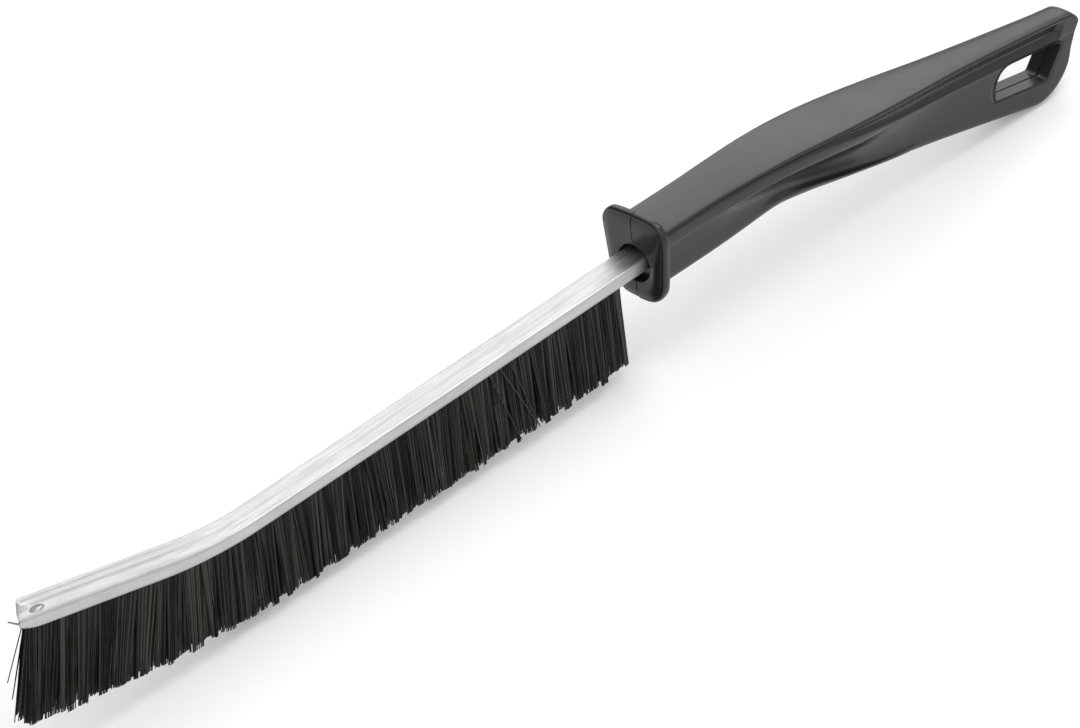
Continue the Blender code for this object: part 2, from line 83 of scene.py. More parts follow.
right = Vector((0.679, -0.731, -0.0832)).normalized()
up = Vector((0.447, 0.325, 0.832))
up = (up - right * up.dot(right)).normalized()
back = right.cross(up)
across = (image_width / 2 - origin_pixel[0]) / pixels_per_metre
upward = (origin_pixel[1] - image_height / 2) / pixels_per_metre

lens = bpy.data.cameras.new("camera")
lens.sensor_width = sensor_width
lens.lens = pixels_per_metre * camera_distance * sensor_width / image_width
lens.clip_end = camera_distance * 2
camera = bpy.data.objects.new("camera", lens)
bpy.context.scene.collection.objects.link(camera)
place = origin + right * across + up * upward + back * camera_distance
camera.matrix_world = Matrix.Translation(place) @ Matrix((right, up, back)).transposed().to_4x4()
bpy.context.scene.camera = camera
print("lens:", round(lens.lens), "mm")

# %% [markdown]
# Most of this brush is formed from thin stuff: a strip of sheet that a press folds, and a
# moulded skin that follows one section after another. Both start the same way, as a flat
# grid. Each point of the grid has a row and a column, and it is carried to the place that
# this row and column have on the finished form. Extruding a section fifty times by hand
# gives the same mesh, but then no value can be changed afterwards.
#
# Two more helpers finish such a skin: one closes its open edges with faces and turns every
# face outwards, and the other applies a modifier and smooths what isn't a real edge.

# %% Helpers for forming a grid
def deselect():
    bpy.ops.object.select_all(action="DESELECT")


def make_active(obj):
    deselect()
    obj.select_set(True)
    bpy.context.view_layer.objects.active = obj


def quarter_turn(steps):
    """The angles from 0 to a quarter turn."""
    return [math.pi / 2 * step / steps for step in range(steps + 1)]


def formed_grid(name, rows):
    """A flat grid whose points are carried to rows of places, one row after another."""
    deselect()
    row_steps, column_steps = len(rows) - 1, len(rows[0]) - 1
    bpy.ops.mesh.primitive_grid_add(x_subdivisions=row_steps, y_subdivisions=column_steps, size=2)
    grid = bpy.context.object
    grid.name = grid.data.name = name
    for point in grid.data.vertices:
        row = round((point.co.x + 1) / 2 * row_steps)
        column = round((point.co.y + 1) / 2 * column_steps)
        point.co = origin + rows[row][column]
    return grid


def close_up(obj, merge=0.001 * mm):
    """Joins points that lie together, fills the open edges and turns the faces outwards."""
    make_active(obj)
    bpy.ops.object.mode_set(mode="EDIT")
    bpy.ops.mesh.select_all(action="SELECT")
    bpy.ops.mesh.remove_doubles(threshold=merge)
    bpy.ops.mesh.select_all(action="SELECT")
    bpy.ops.mesh.fill_holes(sides=0)
    bpy.ops.mesh.select_all(action="SELECT")
    bpy.ops.mesh.normals_make_consistent(inside=False)
    bpy.ops.object.mode_set(mode="OBJECT")


def apply_modifier(obj, kind, **settings):
    make_active(obj)
    modifier = obj.modifiers.new(kind.lower(), kind)
    for name, value in settings.items():
        setattr(modifier, name, value)
    bpy.ops.object.modifier_apply(modifier=modifier.name)


def smooth(obj, degrees):
    make_active(obj)
    bpy.ops.object.shade_smooth_by_angle(angle=math.radians(degrees))


def finish_piece(obj, finish, slot, *nodes):
    """Gives a piece its finish, lets it ride on the body, and hides the frame's nodes that it stands for."""
    obj.data.materials.clear()
    obj.data.materials.append(finish)
    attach(obj, "root")
    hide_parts(*nodes)
    print(f"{obj.name}: {len(obj.data.polygons)} faces")


def eased(share):
    share = min(max(share, 0), 1)
    return share * share * (3 - 2 * share)


# %% [markdown]
# The finishes are made of nodes, so they need no picture and look right from any side.
# One small helper adds a node and sets its values. The others blend two colours, carry a
# value to another range, combine two values, and add noise or bump.

# %% Helpers for finishes
def new_finish(name, roughness, metallic=0.0, specular=0.5):
    finish = bpy.data.materials.new(name)
    finish.use_nodes = True
    shader = finish.node_tree.nodes["Principled BSDF"]
    shader.inputs["Roughness"].default_value = roughness
    shader.inputs["Metallic"].default_value = metallic
    shader.inputs["Specular IOR Level"].default_value = specular
    return finish, finish.node_tree, shader


def add_node(tree, kind, **values):
    node = tree.nodes.new(kind)
    for name, value in values.items():
        if name in node.inputs:
            node.inputs[name].default_value = value
        else:
            setattr(node, name, value)
    return node


def blend_of(tree, factor, first, second):
    """A colour that goes from the first to the second as the factor goes from 0 to 1."""
    mix = add_node(tree, "ShaderNodeMix", data_type="RGBA")
    tree.links.new(factor, mix.inputs["Factor"])
    colour_inputs = [socket for socket in mix.inputs if socket.type == "RGBA"]
    for socket, colour in zip(colour_inputs, (first, second)):
        if isinstance(colour, tuple):
            socket.default_value = (*colour, 1)
        else:
            tree.links.new(colour, socket)
    return [socket for socket in mix.outputs if socket.type == "RGBA"][0]


def ranged(tree, value, low, high, to_low, to_high):
    """The value's stretch from low to high, carried to another stretch."""
    change = add_node(tree, "ShaderNodeMapRange")
    for name, number in (("From Min", low), ("From Max", high), ("To Min", to_low), ("To Max", to_high)):
        change.inputs[name].default_value = number
    tree.links.new(value, change.inputs["Value"])
    return change.outputs["Result"]


def combined(tree, operation, first, second):
    """Two values joined by one operation."""
    total = add_node(tree, "ShaderNodeMath", operation=operation)
    tree.links.new(first, total.inputs[0])
    tree.links.new(second, total.inputs[1])
    return total.outputs[0]


def object_noise(tree, scale, detail=3.0, stretch=(1, 1, 1), rough=0.5, attribute=None):
    """Noise on the object's own coordinates or on an attribute, in metres, squeezed by stretch."""
    if attribute:
        where = add_node(tree, "ShaderNodeAttribute", attribute_name=attribute).outputs["Vector"]
    else:
        where = add_node(tree, "ShaderNodeTexCoord").outputs["Object"]
    mapping = add_node(tree, "ShaderNodeMapping")
    mapping.inputs["Scale"].default_value = stretch
    noise = add_node(tree, "ShaderNodeTexNoise", Scale=scale, Detail=detail, Roughness=rough)
    tree.links.new(where, mapping.inputs["Vector"])
    tree.links.new(mapping.outputs["Vector"], noise.inputs["Vector"])
    return noise.outputs["Fac"]


def add_bump(tree, shader, height, strength, distance):
    bump = add_node(tree, "ShaderNodeBump", Strength=strength, Distance=distance)
    tree.links.new(height, bump.inputs["Height"])
    tree.links.new(bump.outputs["Normal"], shader.inputs["Normal"])


# %% [markdown]
# Black moulded plastic isn't really black: it is a very dark warm grey whose look comes
# from what it reflects. The mould's surface is slightly uneven, so the gloss wanders a
# little over a few millimetres, and a fine grain breaks up the reflection.

# %% Make the handle's plastic
def make_plastic():
    finish, tree, shader = new_finish("black_plastic", 0.3, specular=0.5)
    cloud = object_noise(tree, 70, detail=2)
    grain = object_noise(tree, 2600, detail=2)
    colour = blend_of(tree, cloud, (0.0095, 0.0098, 0.0065), (0.0140, 0.0142, 0.0098))
    tree.links.new(colour, shader.inputs["Base Color"])
    tree.links.new(ranged(tree, cloud, 0.3, 0.7, 0.21, 0.29), shader.inputs["Roughness"])
    add_bump(tree, shader, grain, 0.12, 0.02 * mm)
    return finish


plastic = make_plastic()
print("finish:", plastic.name)

# %% [markdown]
# Galvanised sheet is pale and satin. Rolling leaves faint lines along the strip, and the
# zinc dulls in soft blotches. The lines are noise drawn out along the strip. An attribute
# keeps each point's place on the strip as it lay before it was bent, so the lines follow
# the bend, and they change both the colour and the gloss a little.

# %% Make the channel's and the wire's steel
def make_galvanised():
    finish, tree, shader = new_finish("galvanised_steel", 0.5, metallic=1.0)
    lines = object_noise(tree, 1700, detail=3, stretch=(0.008, 1, 1), attribute="unbent")
    blotch = object_noise(tree, 180, detail=4, stretch=(0.5, 1, 1), rough=0.6)
    fine = object_noise(tree, 5000, detail=2, stretch=(0.02, 1, 1), attribute="unbent")
    base = blend_of(tree, ranged(tree, blotch, 0.35, 0.65, 0, 1), (0.5, 0.512, 0.505), (0.555, 0.566, 0.557))
    colour = blend_of(tree, ranged(tree, lines, 0.5, 0.72, 0, 0.6), base, (0.44, 0.445, 0.44))
    tree.links.new(colour, shader.inputs["Base Color"])
    tree.links.new(ranged(tree, fine, 0.35, 0.65, 0.3, 0.52), shader.inputs["Roughness"])
    add_bump(tree, shader, fine, 0.5, 0.01 * mm)
    return finish


def make_wire_steel():
    finish, tree, shader = new_finish("wire_steel", 0.3, metallic=1.0)
    drawn = object_noise(tree, 3000, detail=2, stretch=(0.05, 1, 1))
    tree.links.new(blend_of(tree, drawn, (0.33, 0.33, 0.32), (0.5, 0.5, 0.49)), shader.inputs["Base Color"])
    add_bump(tree, shader, drawn, 0.3, 0.01 * mm)
    return finish


galvanised = make_galvanised()
wire_steel = make_wire_steel()
print("finishes:", galvanised.name, wire_steel.name)

# %% [markdown]
# The filaments are nylon, near black with a little olive in it. No two catch the light
# alike, so every filament carries a number of its own, its tone, as an attribute of its
# points. The finish reads it and makes that filament lighter or darker, duller or glossier.

# %% Make the filaments' nylon
def make_nylon():
    finish, tree, shader = new_finish("black_filament", 0.4, specular=0.16)
    tone = add_node(tree, "ShaderNodeAttribute", attribute_name="tone").outputs["Fac"]
    along = object_noise(tree, 900, detail=2, stretch=(1, 1, 0.15))
    colour = blend_of(tree, ranged(tree, tone, 0.38, 0.9, 0, 1), (0.0004, 0.0004, 0.0003), (0.062, 0.061, 0.051))
    colour = blend_of(tree, ranged(tree, along, 0.5, 0.8, 0, 0.3), colour, (0.040, 0.038, 0.030))
    tree.links.new(colour, shader.inputs["Base Color"])
    tree.links.new(ranged(tree, tone, 0, 1, 0.5, 0.3), shader.inputs["Roughness"])
    add_bump(tree, shader, along, 0.1, 0.01 * mm)
    return finish


nylon = make_nylon()
print("finish:", nylon.name)

# %% [markdown]
# The channel is a strip of sheet, pressed into an upside-down U with a crease along its
# top, and bent up near its tip. Its route is worked out once, as a function from a place
# beside the channel's middle line to a point in space. The wire and the filaments use the
# same function, so all three bend together. Near the tip the rows lean, which cuts the
# strip off at a slant.

# %% The channel's route
channel_width = 7.9 * mm
channel_height = 3.4 * mm
channel_reach = 211.3 * mm
tip_length = 78.3 * mm
bend_radius = 150 * mm
tip_rise = math.radians(12.8)
bend_start = channel_reach - tip_length
cut_slant = 3.3 * mm
slant_run = 12.0 * mm
droop = 0.9 * mm
droop_length = 150 * mm


def strip_place(along, side, rise):
    """A point this far along the channel, to its side and above its middle line."""
    lean = max(along - channel_reach + slant_run, 0) / slant_run
    along -= cut_slant * min(lean, 1) * side / (channel_width / 2)
    sag = droop * math.sin(min(max(along / droop_length, 0), 1) * math.pi / 2)
    turned = min(max(along - bend_start, 0), bend_radius * tip_rise) / bend_radius
    beyond = along - bend_start - bend_radius * turned
    if turned == 0:
        x, z = -along, 0
    else:
        x = -bend_start - bend_radius * math.sin(turned) - beyond * math.cos(turned)
        z = bend_radius * (1 - math.cos(turned)) + beyond * math.sin(turned)
    return Vector((x + rise * math.sin(turned), side, z - sag + rise * math.cos(turned)))


print("tip of the channel:", [round(value / mm, 1) for value in strip_place(channel_reach, 0, 0)], "mm")

# %% [markdown]
# Across the strip the section runs from lip to lip. Two shallow creases run along the top.
# The first deepens into a pressed notch at the tip, where the far edge is bent up a little
# and the lips' corners are cut away. Solidify gives the folded sheet its thickness, Bevel
# breaks its edges, and a sphere drawn out to an egg presses the dimple beside the notch.

# %% Fold the channel
sheet_thickness = 0.5 * mm
channel_edge_radius = 0.9 * mm
lip_height = 0.7 * mm
lip_tuck = 0.4 * mm
crease_depth = 0.09 * mm
tip_crease_depth = 0.24 * mm
crease_half_width = 0.6 * mm
second_crease_side = 2.0 * mm
tip_lift = math.tan(math.radians(11))
notch_length = 4.2 * mm
notch_depth = 2.1 * mm
notch_half_width = 1.5 * mm
corner_cut_length = 6.5 * mm
corner_cut_height = 1.3 * mm
punch_place = (206.1 * mm, -1.75 * mm, 2.1 * mm)
punch_halves = (2.8 * mm, 1.1 * mm, 0.9 * mm)
punch_wall = 0.35 * mm
punch_sink = 0.95 * mm
punch_turn = math.radians(11)
tang_length = 44.0 * mm
channel_row_step = 1.6 * mm
edge_steps = 7
valley_steps = 5
flat_steps = 8


def channel_section(along):
    """The outer outline here, from the left lip over the top to the right lip."""
    half, top = channel_width / 2, channel_height / 2
    pinch = eased(1 - (channel_reach - along) / notch_length)
    pressed = eased((along - bend_start) / (bend_radius * tip_rise))
    crease = crease_depth + (tip_crease_depth - crease_depth) * pressed
    depth = crease + (notch_depth - crease) * pinch
    valley = crease_half_width + (notch_half_width - crease_half_width) * pinch
    cut = max(1 - (channel_reach - along) / corner_cut_length, 0) ** 2
    low = -top + corner_cut_height * cut
    outline = []
    for step in range(valley_steps + 1):
        share = step / valley_steps
        bowl = (1 + math.cos(math.pi * share)) / 2
        sharp = 1 - share
        outline.append((valley * share, top - depth * (bowl + (sharp - bowl) * pinch)))
    for step in range(1, flat_steps):
        outline.append((valley + (half - channel_edge_radius - valley) * step / flat_steps, top))
    for angle in quarter_turn(edge_steps):
        away, down = (channel_edge_radius * (1 - part) for part in (math.sin(angle), math.cos(angle)))
        outline.append((half - away, top - down))
    outline += [
        (half, (low + lip_height) / 2 + (top - channel_edge_radius) / 2),
        (half, low + lip_height),
        (half - lip_tuck * 0.3, low + lip_height * 0.45),
        (half - lip_tuck, low),
    ]
    whole = [(side, rise) for side, rise in reversed(outline[1:])] + [(-side, rise) for side, rise in outline]
    pressing = pressed * (1 - pinch) * tip_crease_depth
    line = [pressing * max(1 - abs(side - second_crease_side) / (0.4 * mm), 0) for side, _ in whole]
    return [(side, rise - drop + pressed * tip_lift * (side + half)) for (side, rise), drop in zip(whole, line)]


def channel_rows():
    count = math.ceil((channel_reach + tang_length) / channel_row_step)
    stations = [-tang_length + (channel_reach + tang_length) * step / count for step in range(count + 1)]
    fine = [station for station in stations if station < channel_reach - slant_run]
    last = fine[-1]
    steps = 36
    fine += [last + (channel_reach - last) * (step + 1) / steps for step in range(steps)]
    return [[strip_place(along, side, rise) for side, rise in channel_section(along)] for along in fine]


def store_unbent(obj):
    """Each point's place as if the strip had never been bent, for the streaks of its finish."""
    arc = bend_radius * math.sin(tip_rise)
    places = []
    for point in obj.data.vertices:
        x, y, z = point.co - origin
        beyond = -x - bend_start
        if beyond < 0:
            along = -x
        elif beyond < arc:
            along = bend_start + bend_radius * math.asin(beyond / bend_radius)
        else:
            along = bend_start + bend_radius * tip_rise + (beyond - arc) / math.cos(tip_rise)
        places += [along, y, z - strip_place(along, 0, 0).z]
    layer = obj.data.attributes.new("unbent", "FLOAT_VECTOR", "POINT")
    layer.data.foreach_set("vector", places)


def punch_egg(wider=0, lower=0):
    """A long egg in the top of the tip beside the crease, this much wider and lower."""
    deselect()
    bpy.ops.mesh.primitive_uv_sphere_add(segments=32, ring_count=16, radius=1)
    egg = bpy.context.object
    egg.name = "punch_egg"
    along, side, rise = punch_place
    here = strip_place(along, side, rise - lower)
    halves = [half + wider for half in punch_halves]
    lying = Matrix.Rotation(tip_rise, 3, "Y") @ Matrix.Rotation(punch_turn, 3, "Z")
    for point in egg.data.vertices:
        point.co = origin + here + lying @ Vector([share * half for share, half in zip(point.co, halves)])
    return egg


channel = formed_grid("channel_sheet", channel_rows())
store_unbent(channel)
top_face = max(channel.data.polygons, key=lambda face: face.center.z)
if top_face.normal.z < 0:
    channel.data.flip_normals()
apply_modifier(channel, "SOLIDIFY", thickness=sheet_thickness, offset=-1, use_even_offset=True)
apply_modifier(channel, "BEVEL", width=0.06 * mm, segments=1, limit_method="ANGLE", angle_limit=math.radians(60))
# The wider egg, sunk under the top face, is the dimple's wall, and the other its hollow
for operation, egg in (("UNION", punch_egg(punch_wall, punch_sink)), ("DIFFERENCE", punch_egg())):
    apply_modifier(channel, "BOOLEAN", operation=operation, object=egg, solver="EXACT", use_self=True)
    bpy.data.objects.remove(egg)
    print("dimple:", operation.lower(), "leaves", len(channel.data.vertices), "points")
smooth(channel, 40)
finish_piece(channel, galvanised, "galvanised_steel", "steel_channel")

# %% [markdown]
# Inside the channel the filaments are folded over a wire, which keeps them from being
# pulled out. Only its cut end shows, standing out of the tip. A curve with a round bevel
# is the quickest wire: it is given its points along the channel's route, and is then
# turned into a mesh.

# %% Lay the core wire
wire_radius = 0.24 * mm
wire_drop = 0.65 * mm
wire_start = 7.5 * mm
wire_stop = 3.0 * mm
wire_end_bend = Vector((-2.2, 1.0, 1.4)) * mm
wire_end_aside = 1.2 * mm
wire_steps = 60


def wire_points():
    reach = channel_reach - wire_stop - wire_start
    points = [strip_place(wire_start + reach * step / wire_steps, 0, -wire_drop) for step in range(wire_steps + 1)]
    points.append(strip_place(channel_reach, -wire_end_aside, -wire_drop))
    points.append(points[-1] + wire_end_bend)
    return points


def make_wire():
    path = bpy.data.curves.new("core_wire_drawn", "CURVE")
    path.dimensions = "3D"
    path.bevel_depth = wire_radius
    path.bevel_resolution = 3
    path.use_fill_caps = True
    points = wire_points()
    line = path.splines.new("POLY")
    line.points.add(len(points) - 1)
    for knot, point in zip(line.points, points):
        knot.co = (*(origin + point), 1)
    wire = bpy.data.objects.new("core_wire_drawn", path)
    bpy.context.scene.collection.objects.link(wire)
    make_active(wire)
    bpy.ops.object.convert(target="MESH")
    return bpy.context.object


wire = make_wire()
close_up(wire)
smooth(wire, 40)
finish_piece(wire, wire_steel, "wire_steel", "core_wire")

# %% [markdown]
# The handle is moulded in two halves that meet on the middle plane. Along its length its
# section changes a lot: behind the guard it is a box, at the waist the lower side is
# scooped away under a ridge, and at the rear it is a deep thin plate with a hollow under
# its top edge. A table gives each width at a few stations, and a smooth curve runs
# through the values, which is how a boat's lines are drawn too.

# %% The handle's lines
handle_length = 149.1 * mm
grip_top = 8.45 * mm
grip_bottom = -6.2 * mm
top_turn_at = 48.2 * mm
top_turn_softness = 20 * mm
rear_top_fall = math.radians(9.54)
bottom_turn_at = 44.5 * mm
bottom_turn_softness = 4 * mm
rear_bottom_fall = math.radians(13.4)
belly_half_width = 9.1 * mm
plate_half_width = 3.4 * mm

station_shares = (0, 0.14, 0.22, 0.31, 0.40, 0.48, 0.58, 0.65, 0.72, 0.83, 0.95, 1)
top_width_shares = (0.79, 0.79, 0.84, 0.915, 0.955, 0.93, 0.82, 0.71, 0.60, 0.48, 0.385, 0.374)
ridge_width_shares = (0.79, 0.80, 0.86, 0.92, 0.92, 0.83, 0.63, 0.50, 0.41, 0.376, 0.374, 0.374)
lower_width_shares = (2.02, 2.01, 1.87, 1.62, 1.45, 1.31, 1.17, 1.07, 1, 1, 1, 1)
rail_height_shares = (0.65, 0.63, 0.62, 0.66, 0.76, 0.89, 0.98, 1, 1, 0.98, 0.92, 0.9)
hollow_depth_shares = (0.3, 0.3, 0.3, 0.34, 0.46, 0.64, 0.85, 1, 1, 0.95, 0.85, 0.8)
hollow_height_shares = (0.20, 0.20, 0.22, 0.27, 0.42, 0.62, 0.86, 0.96, 1, 1, 1, 1)
cove_height_shares = (0.4, 0.4, 0.45, 0.6, 0.76, 0.84, 0.84, 0.7, 0.6, 0.5, 0.5, 0.5)
cove_shares = (0, 0.06, 0.32, 0.8, 1, 0.95, 0.4, 0.12, 0, 0, 0, 0)


def from_table(shares, share):
    """A smooth curve through a row of values given at the stations."""
    last = len(shares) - 1
    slot = 0
    while slot < last - 1 and share > station_shares[slot + 1]:
        slot += 1
    span = station_shares[slot + 1] - station_shares[slot]
    t = min(max((share - station_shares[slot]) / span, 0), 1)

    def slope(i):
        before, after = max(i - 1, 0), min(i + 1, last)
        return (shares[after] - shares[before]) / (station_shares[after] - station_shares[before])

    start, rise = shares[slot], shares[slot + 1] - shares[slot]
    lead, trail = slope(slot) * span, slope(slot + 1) * span
    return start + lead * t + (3 * rise - 2 * lead - trail) * t**2 + (lead + trail - 2 * rise) * t**3


def turned_by(distance, softness):
    """Zero before a bend and the distance after it, with a soft change between."""
    return (distance + math.hypot(distance, softness)) / 2


def top_line(x):
    return grip_top - math.tan(rear_top_fall) * turned_by(x - top_turn_at, top_turn_softness)


def bottom_line(x):
    return grip_bottom - math.tan(rear_bottom_fall) * turned_by(x - bottom_turn_at, bottom_turn_softness)


print("handle's height at the rear:", round((top_line(handle_length) - bottom_line(handle_length)) / mm, 1), "mm")

# %% [markdown]
# One half section is a line from the top middle round to the bottom middle. It is drawn
# with few points, as a draughtsman would, and a smooth curve is then passed through them,
# so the surface has no flats that the light could catch.

# %% One section of the handle
rail_height = 6.9 * mm
top_edge_radius = 0.6 * mm
top_crown = 0.3 * mm
bottom_edge_radius = 1.8 * mm
hollow_depth = 1.9 * mm
cove_depth = 1.5 * mm
hollow_start = 2.7 * mm
hollow_stop = 7.8 * mm
hollow_fade = 1.8 * mm
ridge_radius = 0.25 * mm
hollow_shares = ((0.32, 0.18), (0.66, 0.39), (1, 0.62), (0.6, 0.83))
corner_steps = 3
curve_steps = 5
seam_half = 0.01 * mm
groove_half = 0.2 * mm


def section_points(x, top_cut, bottom_cut, side_cut, advance):
    share = x / handle_length
    top = belly_half_width * from_table(top_width_shares, share) - side_cut
    ridge = belly_half_width * from_table(ridge_width_shares, share) - side_cut
    lower = plate_half_width * from_table(lower_width_shares, share) - side_cut
    high, low = top_line(x) - top_cut, bottom_line(x) + bottom_cut
    squeeze = (high - low) / (top_line(x) - bottom_line(x))
    rail = rail_height * from_table(rail_height_shares, share) * squeeze
    edge = min(top_edge_radius, top / 2, (high - low) / 6)
    nose = ridge_radius * squeeze
    gap = (rail - edge - 2 * nose) * from_table(hollow_height_shares, share)
    band = top + (ridge - top) * gap / (rail - edge)
    deep = hollow_depth * from_table(hollow_depth_shares, share)
    deep *= 1 - eased((x + advance + hollow_stop - handle_length) / hollow_fade)
    deep *= eased((x - hollow_start) / hollow_fade)
    under = high - rail
    drop = (under - low) * from_table(cove_height_shares, share)
    pit = lower - cove_depth * from_table(cove_shares, share)
    foot_radius = min(bottom_edge_radius, (under - drop - low) * 0.7, lower / 2)
    points = [(0, high + top_crown), (top / 2, high + top_crown * 0.75)]
    for angle in quarter_turn(corner_steps):
        points.append((top - edge * (1 - math.sin(angle)), high - edge * (1 - math.cos(angle))))
    for depth_share, height_share in hollow_shares:
        wide = top + (band - top) * height_share
        points.append((wide - deep * depth_share, high - edge - gap * height_share))
    shelf = rail - edge - gap
    points += [
        (band, high - edge - gap - (shelf - 2 * nose) * 0.15),
        (ridge, under + nose),
        (ridge - nose * 0.3 - (ridge - pit) * 0.06, under - nose * 0.5),
        (ridge - (ridge - pit) * 0.68, under - drop * 0.42),
        (pit, under - drop),
    ]
    for angle in quarter_turn(corner_steps):
        points.append((lower - foot_radius * (1 - math.cos(angle)), low + foot_radius * (1 - math.sin(angle))))
    points.append((0, low))
    return [Vector(point) for point in points]


def curve_through(points, steps):
    """A smooth curve through the points, with this many steps between two of them."""
    ends = [2 * points[0] - points[1], *points, 2 * points[-1] - points[-2]]
    curve = [points[0]]
    for before, start, end, after in zip(ends, ends[1:], ends[2:], ends[3:]):
        gaps = [max((b - a).length, 1e-9) ** 0.5 for a, b in ((before, start), (start, end), (end, after))]
        lead = (start - before) / gaps[0] - (end - before) / (gaps[0] + gaps[1]) + (end - start) / gaps[1]
        trail = (end - start) / gaps[1] - (after - start) / (gaps[1] + gaps[2]) + (after - end) / gaps[2]
        lead, trail = lead * gaps[1], trail * gaps[1]
        for step in range(1, steps + 1):
            t = step / steps
            rise = end - start
            curve.append(start + lead * t + (3 * rise - 2 * lead - trail) * t**2 + (lead + trail - 2 * rise) * t**3)
    return curve


def smooth_section(x, top_cut=0, bottom_cut=0, side_cut=0, advance=0):
    """The half section as a smooth line, with one extra point close beside the seam."""
    line = curve_through(section_points(x, top_cut, bottom_cut, side_cut, advance), curve_steps)
    first, last = line[0], line[-1]
    near_top = first + (line[1] - first) * (groove_half / (line[1] - first).length)
    near_bottom = last + (line[-2] - last) * (groove_half / (line[-2] - last).length)
    return [first, near_top, *line[1:-1], near_bottom, last]


print("points in a half section:", len(smooth_section(0.5 * handle_length)))

# %% [markdown]
# The skin of one half runs in one piece from the bottom of the mouth, out over the
# chamfer, across the guard's face, round its rim, down its back and along the grip to the
# rounded end. Making it one grid means that the guard and the grip flow into each other
# through a small fillet, as they do in a mould. The outlines differ in length, so their
# points are spread by the same shares of the way round.

# %% Outlines of the guard and the mouth
guard_half_top = 10.7 * mm
guard_half_bottom = 8.5 * mm
guard_bottom = -11.1 * mm
guard_crown = 1.0 * mm
guard_sag = 1.3 * mm
guard_top_radius = 4.1 * mm
guard_bottom_radius = 5.6 * mm
guard_thickness = 2.7 * mm
front_edge_radius = 0.8 * mm
back_edge_radius = 0.8 * mm
mouth_radius = 4.9 * mm
mouth_drop = 0.95 * mm
mouth_depth = 2.2 * mm
mouth_chamfer = 0.45 * mm
back_fillet = 0.7 * mm
seam_groove = 0.32 * mm
seam_step = 0.14 * mm
# How far back the face lies at each distance in from the guard's outer edge
face_profile = ((0, 3.2), (0.03, 2.6), (0.1, 2.0), (0.2, 1.5), (0.34, 1.1), (0.42, 0.9))


def corner_arc(before, corner, after, radius, steps=9):
    back_way = (before - corner).normalized()
    on_way = (after - corner).normalized()
    half_angle = back_way.angle(on_way) / 2
    centre = corner + (back_way + on_way).normalized() * (radius / math.sin(half_angle))
    first = corner + back_way * (radius / math.tan(half_angle)) - centre
    last = corner + on_way * (radius / math.tan(half_angle)) - centre
    swing = first.angle(last)
    arms = []
    for step in range(steps + 1):
        t = step / steps
        arms.append((first * math.sin((1 - t) * swing) + last * math.sin(t * swing)) / math.sin(swing))
    return [centre + arm for arm in arms]


def guard_outline(inset):
    """Half outline of the guard, from its top middle to its bottom middle, drawn in by inset."""
    top, bottom = guard_top - guard_crown - inset, guard_bottom + guard_sag + inset
    wide, narrow = guard_half_top - inset, guard_half_bottom - inset
    corners = [Vector((0, top)), Vector((wide, top)), Vector((narrow, bottom)), Vector((0, bottom))]
    top_arc = corner_arc(corners[0], corners[1], corners[2], guard_top_radius - inset / 2)
    low_arc = corner_arc(corners[1], corners[2], corners[3], guard_bottom_radius - inset / 2)
    line = [corners[0].lerp(top_arc[0], step / 8) for step in range(8)]
    line += top_arc + low_arc
    line += [low_arc[-1].lerp(corners[3], step / 6) for step in range(1, 7)]
    middle = (top + bottom) / 2
    bent = []
    for side, height in line:
        reach = abs(height - middle) / (top - middle)
        bulge = guard_crown if height > middle else -guard_sag
        bent.append(Vector((side, height + bulge * (1 - (side / wide) ** 2) * min(reach, 1) ** 4)))
    return bent


def way_round(line):
    """For each point of a line, its share of the whole way."""
    lengths = [0]
    for near, far in zip(line, line[1:]):
        lengths.append(lengths[-1] + (far - near).length)
    return [length / lengths[-1] for length in lengths]


def spread(line, shares):
    """Points on the line at these shares of the way along it."""
    own = way_round(line)
    found, slot = [], 0
    for share in shares:
        while slot < len(own) - 2 and own[slot + 1] < share:
            slot += 1
        t = (share - own[slot]) / (own[slot + 1] - own[slot])
        found.append(line[slot] + (line[slot + 1] - line[slot]) * t)
    return found


shares_round = way_round(smooth_section(0))
print("columns from the top seam to the bottom seam:", len(shares_round))

# %% [markdown]
# Each helper below gives one row of the skin. The seam shows on the guard only, as a fine
# groove between the two halves, so there the first and the last point of a row are drawn
# in a little, and the right half stands a hair prouder than the left.

# %% Rows of the handle's skin
end_slant = math.radians(25)
slant_length = 49.1 * mm
end_round_top = 4.9 * mm
end_round_bottom = 10.2 * mm
end_round_side = 1.0 * mm
grip_row_step = 1.0 * mm
end_rows = 24
face_steps = 6


def mouth_row(x, radius):
    return [
        Vector((x, radius * math.sin(math.pi * share), radius * math.cos(math.pi * share) - mouth_drop))
        for share in shares_round
    ]


def guard_row(x, inset, inward, proud):
    """A row round the guard, whose seam points are drawn in along the inward direction."""
    plain = spread(guard_outline(inset - proud), shares_round)
    drawn = spread(guard_outline(inset - proud + seam_groove * inward[1]), shares_round)
    row = [Vector((x - proud, side, height)) for side, height in plain]
    for i in (0, -1):
        row[i] = Vector((x - proud + seam_groove * inward[0], *drawn[i]))
    return row


def grip_row(x, grow=0, cuts=(0, 0, 0), advance=0):
    """A row round the grip, leaning more and more towards the slanted end."""
    middle = (top_line(x) + bottom_line(x)) / 2
    lean = math.tan(end_slant) * eased(1 - (handle_length - x) / slant_length)
    row = []
    for width, height in smooth_section(x, *(cut - grow for cut in cuts), advance):
        slid = x + advance + lean * (height - middle)
        line = top_line if height > middle else bottom_line
        reach = min(abs(height - middle) / (top_line(x) - middle), 1)
        row.append(Vector((slid, width, height + (line(slid) - line(x)) * reach)))
    return row


def corner_cut(advance, radius):
    """How far a round corner of this radius has drawn in, this far along the rounded end."""
    share = max(advance - (end_round_bottom - radius), 0) / radius
    return radius * (1 - math.sqrt(1 - min(share, 1) ** 2))


